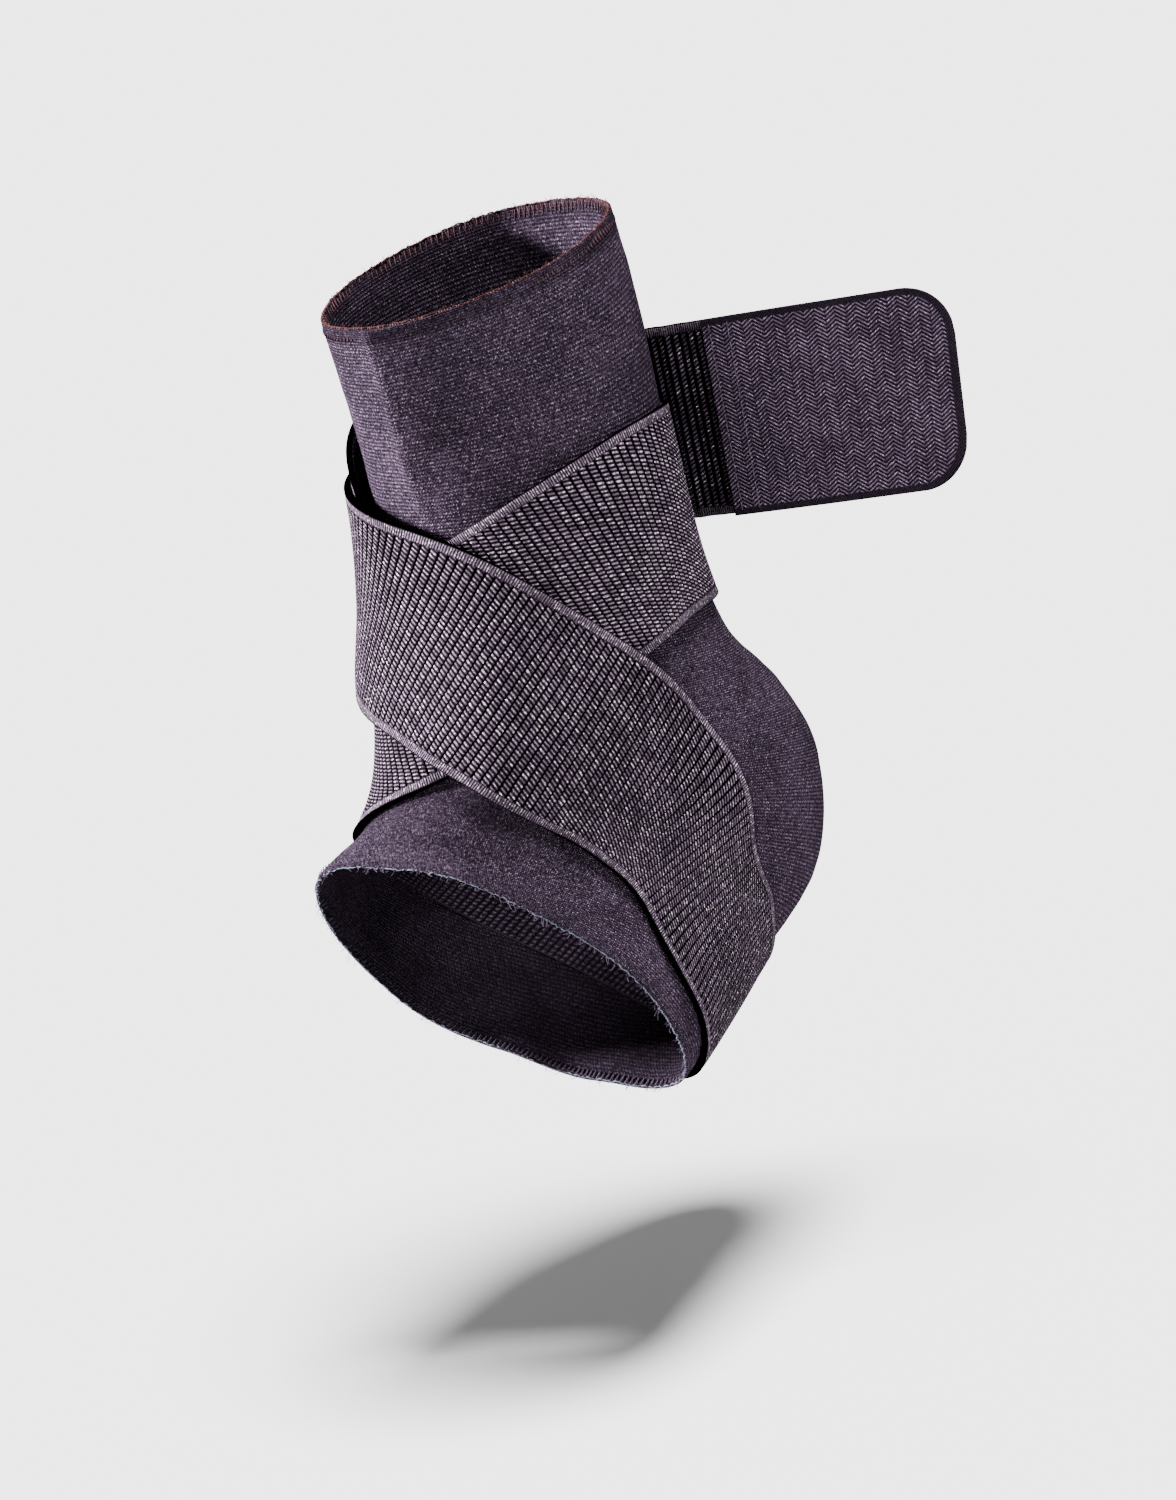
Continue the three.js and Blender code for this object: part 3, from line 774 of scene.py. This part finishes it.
def strap_places(path):
    """Rows and angles of a strap's points, the share of the way of each line, and the middle line.

    Each line is square to the strap's run, taken over up to RUN_SPAN steps each way, so that ribs don't fan at a bend.
    """
    samples = blend(path, np.linspace(0, len(path) - 1, (len(path) - 1) * PATH_SAMPLES + 1))
    points = face_point(samples[:, 0], samples[:, 1])
    run = np.concatenate([[0], np.cumsum(np.linalg.norm(np.diff(points, axis=0), axis=1))])
    count = round((run[-1] - SOLE_SEAM_GAP / 2) / STRAP_STEP)
    targets = np.linspace(SOLE_SEAM_GAP / 2, run[-1], count + 1)
    row, angle, wide = (np.interp(targets, run, samples[:, column]) for column in range(3))
    middle = face_point(row, angle)
    index = np.arange(count + 1)
    span = np.clip(np.minimum(index, count - index), 1, RUN_SPAN)
    run_way = middle[np.minimum(index + span, count)] - middle[np.maximum(index - span, 0)]
    across = np.cross(face_frame(row, angle)[2], unit(run_way))
    half = STRAP_CELLS // 2
    rows, angles = np.empty((count + 1, STRAP_CELLS + 1)), np.empty((count + 1, STRAP_CELLS + 1))
    rows[:, half], angles[:, half] = row, angle
    for side in (-1, 1):
        here = (row, angle, across * side)
        for cell in range(1, half + 1):
            here = walk(*here, wide * STRAP_WIDTH / STRAP_CELLS)
            rows[:, half + side * cell], angles[:, half + side * cell] = here[:2]
    return rows, angles, np.linspace(0, 1, count + 1), middle


# %% [markdown]
# ## How far the straps stand off
# Where the straps cross, the over strap has to pass clear of the under strap. Its lift is worked out from the distance
# to the other strap's middle line, and then evened out, because webbing is too stiff for a sharp step.

# %% Lift of the straps
LIFT_STRIDE = 6


def under_lift(share):
    """How far the under strap stands off the sleeve: it rises at its end, where it is tucked under the over strap."""
    return LAYER_GAP + UNDER_END_LIFT * smooth((share - UNDER_RISE_START) / (UNDER_RISE_END - UNDER_RISE_START))


def over_lift(points, middle, share):
    """How far the over strap stands off the sleeve: clear of the under strap where it crosses it."""
    lift = np.full(points.shape[:-1], LAYER_GAP)
    for centre, part in zip(middle[share > SOLE_SHARE][::LIFT_STRIDE], share[share > SOLE_SHARE][::LIFT_STRIDE]):
        aside = np.linalg.norm(points - centre, axis=-1)
        cover = smooth((STRAP_WIDTH / 2 + STRAP_BLEND - aside) / (STRAP_BLEND - BLEND_END))
        lift = np.maximum(lift, LAYER_GAP + cover * (under_lift(part) + STRAP_THICKNESS))
    return lift


def even_out(values, steps, passes=3):
    """Running mean along the first direction, which takes creases out of a lift."""
    for _ in range(passes):
        padded = np.pad(values, ((steps, steps), (0, 0)), mode="edge")
        total = np.cumsum(np.pad(padded, ((1, 0), (0, 0))), axis=0)
        values = (total[2 * steps + 1:] - total[:-2 * steps - 1]) / (2 * steps + 1)
    return values


under_rows, under_angles, under_share, under_middle = strap_places(UNDER_PATH)
over_rows, over_angles = strap_places(OVER_PATH)[:2]
print("Strap lines:", len(under_rows), "and", len(over_rows))

# %% [markdown]
# ## Tail
# The end of the over strap leaves the leg as a free tail, a little twisted and faintly rippled from being folded. One
# function gives its places, and the tab uses it too, so the two stay together.

# %% Tail and tab frames
TAIL_FOLD = 0.0075
TAIL_FOLD_DEPTH = 0.0004
TAIL_ALONG = np.array([math.cos(TAIL_LEAN), math.sin(TAIL_LEAN), 0])
TAIL_LEVEL = np.cross((0, 0, 1), TAIL_ALONG)


def tail_points(start, run, side, out):
    """Points of the free tail at a run from the leg, to the side of its middle line and off its inner face."""
    run, side, out = np.broadcast_arrays(run, side, out)
    turn = TAB_TWIST * smooth(run / (TAIL_LENGTH + TAB_LENGTH))
    across = -np.stack([np.sin(turn) * TAIL_LEVEL[0], np.sin(turn) * TAIL_LEVEL[1], np.cos(turn)], axis=-1)
    normal = np.cross(np.broadcast_to(TAIL_ALONG, across.shape), across)
    return start + TAIL_ALONG * run[..., None] + across * side[..., None] + normal * out[..., None]


# %% [markdown]
# ## Ribs and bands
# The ribs are a small wave along the lines of points, which fades out at the selvedges. A band is a grid on those
# lines, thickened outwards into a closed piece.

# %% Band helpers
def rib_lift(steps_along, steps_across):
    """Raises a rib every four steps along a strap, flattened near its two edges."""
    along = np.arange(steps_along + 1)[:, None] / 4
    across = np.abs(np.arange(steps_across + 1)[None, :] / steps_across - 0.5)
    from_edge = (0.5 - across) * STRAP_WIDTH
    rib = np.abs(np.sin(math.pi * along)) ** 0.7
    return RIB_DEPTH * (rib - 0.6) * smooth((from_edge - SELVEDGE * 0.6) / (SELVEDGE * 0.8))


def ribbed(lines):
    """Moves the lines of points of a strap in and out by its ribs."""
    run, across = np.gradient(lines, axis=0), np.gradient(lines, axis=1)
    stretch = np.clip(np.linalg.norm(run, axis=-1, keepdims=True) / STRAP_STEP, 0, 1)
    return lines + unit(np.cross(run, across)) * rib_lift(len(lines) - 1, STRAP_CELLS)[..., None] * stretch


def add_band(name, lines, thickness):
    """Closed band of cloth from lines of points on its inner face, thickened outwards."""
    piece, steps = add_grid(name, len(lines) - 1, len(lines[0]) - 1)
    set_places(piece, lines[steps[:, 0], steps[:, 1]])
    apply_modifier(piece, "SOLIDIFY", thickness=thickness, offset=1)
    bpy.ops.object.shade_smooth()
    return piece


# %% [markdown]
# ## The lines of both straps
# The over strap's lines go on into the tail. Over the first half of the tail they pass from the direction in which the
# strap leaves the leg to the tail's own.

# %% Strap lines
RIPPLE_FADE = 0.008
RIPPLE_END = 0.038

under_lines = offset_point(under_rows, under_angles, under_lift(under_share)[:, None])
lift = over_lift(face_point(over_rows, over_angles), under_middle, under_share)
lift = even_out(even_out(lift, 10).T, 3).T
over_lines = offset_point(over_rows, over_angles, lift)
tail_start = over_lines[-1, STRAP_CELLS // 2]
tail_runs = (np.arange(round(TAIL_LENGTH / STRAP_STEP)) + 1)[:, None] * STRAP_STEP
tail_sides = STRAP_WIDTH * (np.arange(STRAP_CELLS + 1)[None, :] / STRAP_CELLS - 0.5)
leaving = over_lines[-1] + TAIL_ALONG * tail_runs[..., None]
freed = smooth(tail_runs / (TAIL_LENGTH / 2))[..., None]
fold = np.sin(tail_runs / TAIL_FOLD * 2 * math.pi) * smooth(tail_runs / RIPPLE_FADE)
fold *= smooth((RIPPLE_END - tail_runs) / RIPPLE_FADE)
tail_lines = leaving + (tail_points(tail_start, tail_runs, tail_sides, TAIL_FOLD_DEPTH * fold) - leaving) * freed
over_lines = np.concatenate([over_lines, tail_lines])
under_length = (len(under_lines) - 1) * STRAP_STEP
over_length = (len(over_lines) - 1) * STRAP_STEP

# %% [markdown]
# ## The two bands
# Each band is made from its lines in one go, ribs and all. The grid's UVs run along and across the band, so the
# webbing's finish can follow it.

# %% Straps
under_strap = add_band("under_band", ribbed(under_lines), STRAP_THICKNESS)
over_strap = add_band("over_band", ribbed(over_lines), STRAP_THICKNESS)
print("Strap faces:", len(under_strap.data.polygons), "and", len(over_strap.data.polygons))

# %% [markdown]
# ## Webbing
# Each rib is a row of short slanted threads, and each edge is a narrow selvedge with fine threads square to it. The
# threads catch the light on top and are nearly black between them, where shade is painted into the gaps.

# %% Webbing finish
STROKE_PITCH = 1.1
STROKE_SLANT = 1.2
LADDER_PITCH = 0.6

weave, came, left = new_group("strap_weave", ("Along", "Across", "Width"), ("Height", "Thread"))
from_side = calc(weave, "MINIMUM", came["Across"], calc(weave, "SUBTRACT", came["Width"], came["Across"]))
edge = step_between(weave, from_side, SELVEDGE * 1100, SELVEDGE * 900)
ribs = calc(weave, "DIVIDE", came["Along"], RIB_PITCH * 1000)
in_rib = calc(weave, "FRACT", ribs)
# Painted shade: the thread goes dark in the groove between ribs.
groove = step_between(weave, calc(weave, "ABSOLUTE", calc(weave, "SUBTRACT", in_rib, 0.5)), 0.37, 0.13)
slanted = calc(weave, "MULTIPLY_ADD", in_rib, STROKE_SLANT, came["Across"])
stroke = calc(weave, "POWER", wave(weave, slanted, STROKE_PITCH), 2.0)
luck = chance(weave, ribs, calc(weave, "DIVIDE", slanted, STROKE_PITCH))
luck = calc(weave, "MULTIPLY", luck, luck)
rib_thread = calc(weave, "MULTIPLY", groove, calc(weave, "MULTIPLY_ADD", stroke, 1.1, 0.02))
rib_thread = calc(weave, "MULTIPLY", rib_thread, calc(weave, "MULTIPLY_ADD", luck, 1.0, 0.4))
ladder = calc(weave, "MULTIPLY_ADD", wave(weave, came["Along"], LADDER_PITCH), 0.5, 0.05)
line = step_between(weave, calc(weave, "ABSOLUTE", calc(weave, "SUBTRACT", from_side, SELVEDGE * 1000)), 0.0, 0.3)
edge_thread = calc(weave, "MULTIPLY", ladder, step_between(weave, from_side, 0.0, 0.5))
thread = mix_value(weave, edge, rib_thread, edge_thread)
thread = calc(weave, "MULTIPLY", thread, calc(weave, "MULTIPLY_ADD", line, 0.8, 0.2))
weave.links.new(thread, left["Height"])
weave.links.new(thread, left["Thread"])

# %% [markdown]
# ## Webbing on the straps
# Both straps have the same finish. The tail of the over strap is darker, as in the photograph, with painted shade.

# %% Webbing material
TAIL_THREAD_IN_SHADE = 0.45


def webbing_material(name, length, shade_from):
    """Finish of a woven band of a length in metres. The band is darker from the given millimetre on, as painted shade.
    """
    material, tree, shader, coordinates = start_material(name)
    uv = uv_parts(tree, coordinates)
    threads = add_node(tree, "ShaderNodeGroup", node_tree=weave)
    along = calc(tree, "MULTIPLY", uv[0], length * 1000)
    tree.links.new(along, threads.inputs["Along"])
    tree.links.new(calc(tree, "MULTIPLY", uv[1], STRAP_WIDTH * 1000), threads.inputs["Across"])
    threads.inputs["Width"].default_value = STRAP_WIDTH * 1000
    # Painted shade on the tail: its threads are dimmed from the given millimetre on.
    out_of_shade = calc(tree, "MAXIMUM", step_between(tree, along, shade_from + 3, shade_from - 3), TAIL_THREAD_IN_SHADE)
    thread = calc(tree, "MULTIPLY", threads.outputs["Thread"], calc(tree, "MULTIPLY_ADD", out_of_shade, 0.8, 0.2))
    cloth_finish(tree, shader, millimetres(tree, coordinates), (threads.outputs["Height"], thread),
                 ("010001", "806e82", "fff4fa"), depth=0.0009, roughness=0.6, grain=1.5, mottling=0.8)
    return material


for strap, length, node in ((under_strap, under_length, "under_strap"), (over_strap, over_length, "over_strap")):
    # Painted shade starts at the tail of the over strap; the under strap has none.
    shade_from = (length - TAIL_LENGTH) * 1000 + 2 if strap == over_strap else length * 1000 + 10
    strap.data.materials.append(webbing_material(node + "_webbing", length, shade_from))
    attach(strap, "root")
    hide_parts(node)

# %% [markdown]
# ## Closure tab
# The tab is a thick woven pad with two round outer corners, sewn on the inner face of the tail's end. Its threads lie
# in level rows that rise and fall in a zigzag, inside a plain darker margin.

# %% Closure tab
TAB_STEPS_ALONG = 150
TAB_STEPS_ACROSS = 120
TAB_MARGIN = 1.8
ROW_PITCH = 1.05
ZIGZAG_PITCH = 5.5
ZIGZAG_RISE = 0.95


def set_uvs(piece, values):
    """Gives every vertex of a piece its own UV."""
    corners = np.empty(len(piece.data.loops), dtype=int)
    piece.data.loops.foreach_get("vertex_index", corners)
    piece.data.uv_layers.active.data.foreach_set("uv", values[corners].astype(np.float32).ravel())


tab, steps = add_grid("woven_tab", TAB_STEPS_ALONG, TAB_STEPS_ACROSS)
tab_runs = steps[:, 0] / TAB_STEPS_ALONG * TAB_LENGTH
past_corner = np.clip((tab_runs - (TAB_LENGTH - TAB_CORNER)) / TAB_CORNER, 0, 1)
tab_half = TAB_WIDTH / 2 - TAB_CORNER * (1 - np.sqrt(1 - past_corner ** 2))
tab_sides = 2 * tab_half * (steps[:, 1] / TAB_STEPS_ACROSS - 0.5)
set_uvs(tab, np.stack([tab_runs / TAB_LENGTH, tab_sides / TAB_WIDTH + 0.5], axis=-1))
set_places(tab, tail_points(tail_start, TAIL_LENGTH - TAB_OVERLAP + tab_runs, tab_sides, -LAYER_GAP))
apply_modifier(tab, "SOLIDIFY", thickness=TAB_THICKNESS, offset=-1)
bpy.ops.object.shade_smooth()

# %% [markdown]
# ## Tab weave
# The weave is a set of rows whose height runs up and down in a zigzag. The plain margin follows the tab's outline, so
# the node group works out the distance to the edge, round corners included.

# %% Tab weave
tab_weave, came, left = new_group("tab_weave", ("Along", "Across"), ("Height", "Thread"))
past_end = calc(tab_weave, "SUBTRACT", came["Along"], (TAB_LENGTH - TAB_CORNER) * 1000)
aside = calc(tab_weave, "ABSOLUTE", calc(tab_weave, "SUBTRACT", came["Across"], TAB_WIDTH * 500))
past_side = calc(tab_weave, "SUBTRACT", aside, (TAB_WIDTH / 2 - TAB_CORNER) * 1000)
squares = [calc(tab_weave, "POWER", calc(tab_weave, "MAXIMUM", value, 0.0), 2.0) for value in (past_end, past_side)]
corner = calc(tab_weave, "SQRT", calc(tab_weave, "ADD", *squares))
within = calc(tab_weave, "MINIMUM", calc(tab_weave, "MAXIMUM", past_end, past_side), 0.0)
from_edge = calc(tab_weave, "SUBTRACT", calc(tab_weave, "SUBTRACT", TAB_CORNER * 1000, corner), within)
margin = step_between(tab_weave, from_edge, TAB_MARGIN + 0.2, TAB_MARGIN - 0.2)
zigzag = calc(tab_weave, "PINGPONG", came["Along"], ZIGZAG_PITCH / 2)
level = calc(tab_weave, "MULTIPLY_ADD", zigzag, 4 * ZIGZAG_RISE / ZIGZAG_PITCH, came["Across"])
row = calc(tab_weave, "POWER", wave(tab_weave, level, ROW_PITCH), 1.5)
row_number = calc(tab_weave, "DIVIDE", level, ROW_PITCH)
stitch = step_between(tab_weave, wave(tab_weave, came["Along"], ZIGZAG_PITCH / 2), -0.5, 0.35)
luck = chance(tab_weave, row_number, calc(tab_weave, "DIVIDE", came["Along"], ZIGZAG_PITCH / 2))
woven = calc(tab_weave, "MULTIPLY", calc(tab_weave, "MULTIPLY", row, stitch),
             calc(tab_weave, "MULTIPLY_ADD", luck, 0.5, 0.6))
border = calc(tab_weave, "MULTIPLY", wave(tab_weave, calc(tab_weave, "ADD", came["Along"], came["Across"]), 0.8), 0.2)
thread = mix_value(tab_weave, margin, woven, border)
tab_weave.links.new(thread, left["Height"])
tab_weave.links.new(faded(tab_weave, thread, margin, 0.4), left["Thread"])

# %% [markdown]
# ## Tab material
# The tab's cloth is finer and flatter than the webbing, so its painted glints are duller and its bump is shallower.

# %% Tab material
material, tree, shader, coordinates = start_material("tab_cloth")
uv = uv_parts(tree, coordinates)
threads = add_node(tree, "ShaderNodeGroup", node_tree=tab_weave)
tree.links.new(calc(tree, "MULTIPLY", uv[0], TAB_LENGTH * 1000), threads.inputs["Along"])
tree.links.new(calc(tree, "MULTIPLY", uv[1], TAB_WIDTH * 1000), threads.inputs["Across"])
cloth_finish(tree, shader, millimetres(tree, coordinates), (threads.outputs["Height"], threads.outputs["Thread"]),
             ("0a070c", "5a4b5d", "8d7c8f"), depth=0.0004, roughness=0.7, grain=1.6, mottling=0.5)
tab.data.materials.append(material)
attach(tab, "root")
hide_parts("closure_tab")

# %% [markdown]
# ## Stitch lines
# The tab is sewn to the tail with two lines of short stitches, which show on both sides. Under the sole, a zigzag
# joins the ends of the two straps.

# %% Stitch lines
def stitch_line(run, out, length=0.0019, gap=0.0007):
    """Short stitches across the tail at a run from the leg, at a distance off its inner face."""
    starts = np.arange(-TAB_WIDTH / 2 + 0.0015, TAB_WIDTH / 2 - 0.0025, length + gap)
    shape = np.array([(0.0, -0.0001), (0.25, 0.00012), (0.75, 0.00012), (1.0, -0.0001)])
    lift = out + math.copysign(1, out) * shape[:, 1]
    return [tail_points(tail_start, np.full(4, run), start + shape[:, 0] * length, lift) for start in starts]


sewn = [TAIL_LENGTH - TAB_OVERLAP + inset for inset in (0.0022, 0.0072)]
front_stitches = [stitch for run in sewn for stitch in stitch_line(run, -LAYER_GAP - TAB_THICKNESS)]
back_stitches = [stitch for run in sewn for stitch in stitch_line(run, STRAP_THICKNESS)]
add_threads("tab_stitches", front_stitches + back_stitches, 0.00018, dark_thread)


def outer_face(lines, step):
    """Points on the outer face of a strap, along one line across it."""
    normal = unit(np.cross(np.gradient(lines, axis=0), np.gradient(lines, axis=1)))
    return (lines + normal * (STRAP_THICKNESS + THREAD_OFF + RIB_DEPTH * 0.4))[step]


over_side, under_side = outer_face(over_lines, 4), outer_face(under_lines, 4)[::-1]
sole_path = np.where((np.arange(STRAP_CELLS + 1) % 2 == 0)[:, None], over_side, under_side)
add_threads("sole_zigzag", [sole_path], 0.00022, dark_thread)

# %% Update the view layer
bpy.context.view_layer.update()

# %% [markdown]
# ## Light on the pieces only
# The left lamp rakes over the cloth, and the floor is left out of its light, so it stays evenly pale.

# %% Left lamp
raked = bpy.data.collections.new("raked_pieces")
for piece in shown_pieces():
    raked.objects.link(piece)
left_lamp.light_linking.receiver_collection = raked
